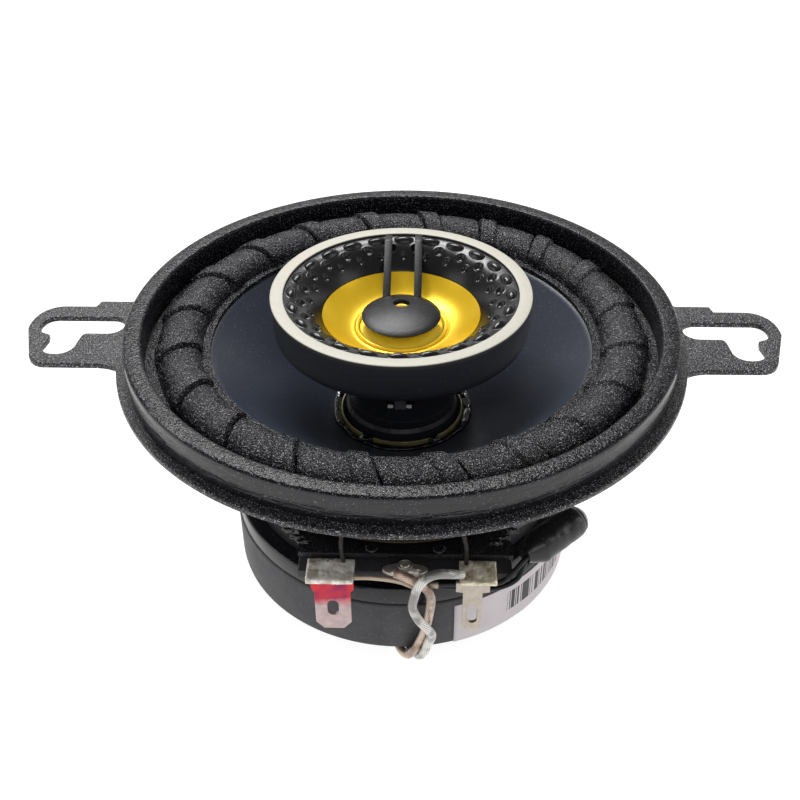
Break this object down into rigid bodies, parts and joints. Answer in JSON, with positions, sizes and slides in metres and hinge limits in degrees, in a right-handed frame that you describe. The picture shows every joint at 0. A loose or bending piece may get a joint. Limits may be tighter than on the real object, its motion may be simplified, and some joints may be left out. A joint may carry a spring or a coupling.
{
  "type": "coaxial car speaker",
  "caption": "Coaxial car speaker: ribbed-surround cone in a stamped basket with slotted tabs, ring magnet, and a post-mounted tweeter with a gold bowl and disc.",
  "frame": {"origin": "centre of the back plate's resting face, on the cone's axis", "axes": "+Z from the magnet to the listener, +X from tab to tab, -Y the side with the terminals"},
  "size_m": [0.1212, 0.0892, 0.0525],
  "materials": {
    "dark_steel": "glossy dark plating",
    "ferrite": "matte grey-black, slightly mottled",
    "paper": "matte, pale, blank",
    "zinc_steel": "plain zinc plate",
    "powder_coat": "coarse matte powder coat",
    "gasket": "grained top, glossy wall",
    "foam": "matte, speckled, slanted ribs",
    "poly_cone": "satin blue-black",
    "former": "tan film",
    "copper": "bare copper",
    "spider_cloth": "stiffened cloth",
    "fibre_board": "matte fibre",
    "tin": "tinned, slightly warm",
    "painted_tin": "tinned, top half painted red",
    "capacitor_can": "glossy",
    "heat_shrink": "satin heat-shrink",
    "clear_jacket_silver": "clear jacket over tinned strands",
    "clear_jacket_copper": "clear jacket over copper strands",
    "pod_plastic": "satin",
    "cream_plastic": "matte off-white",
    "nickel": "bright nickel",
    "gold_film": "metallised gold film",
    "gold_plastic": "metallised satin gold"
  },
  "bodies": {
    "frame": {"t_yoke": "dark_steel", "magnet_ring": "ferrite", "top_plate": "dark_steel", "label": "paper", "hollow_stud": "zinc_steel", "stud_nut": "zinc_steel", "basket": "powder_coat", "gasket_ring": "gasket", "surround": "foam", "spider": "spider_cloth", "terminal_board": "fibre_board", "positive_terminal": "painted_tin", "negative_terminal": "tin", "solder_lug": "tin", "rivet_positive": "tin", "rivet_negative": "tin", "rivet_lug": "tin", "rivet_board_left": "dark_steel", "rivet_board_right": "dark_steel", "capacitor": "capacitor_can", "capacitor_sleeve": "heat_shrink", "capacitor_wire_lug": "tin", "capacitor_wire_positive": "tin", "tweeter_lead_negative": "clear_jacket_silver", "tweeter_lead_positive": "clear_jacket_copper", "tinsel_lead_positive": "copper", "tinsel_lead_negative": "copper", "tweeter_post": "pod_plastic", "tweeter_housing": "pod_plastic", "tweeter_trim_ring": "cream_plastic", "tweeter_clip": "nickel", "tweeter_yoke": "zinc_steel", "tweeter_magnet": "nickel", "tweeter_pole_plate": "zinc_steel", "tweeter_surround": "gold_film", "tweeter_horn": "gold_plastic", "tweeter_flare": "pod_plastic", "tweeter_phase_disc": "pod_plastic"},
    "cone": {"cone": "poly_cone", "voice_coil_former": "former", "voice_coil_winding": "copper"},
    "tweeter_diaphragm": {"tweeter_dome": "gold_film", "tweeter_coil": "copper"}
  },
  "joints": [
    {"name": "cone_slide", "type": "slide", "parent": "frame", "child": "cone", "axis": [0, 0, 1], "range_m": [-0.003, 0.003], "stiffness_N_per_m": 1700, "deforming": ["surround", "spider", "tinsel_lead_positive", "tinsel_lead_negative"]},
    {"name": "tweeter_slide", "type": "slide", "parent": "frame", "child": "tweeter_diaphragm", "axis": [0, 0, 1], "range_m": [-0.00025, 0.00025], "stiffness_N_per_m": 50, "deforming": ["tweeter_surround"]}
  ]
}
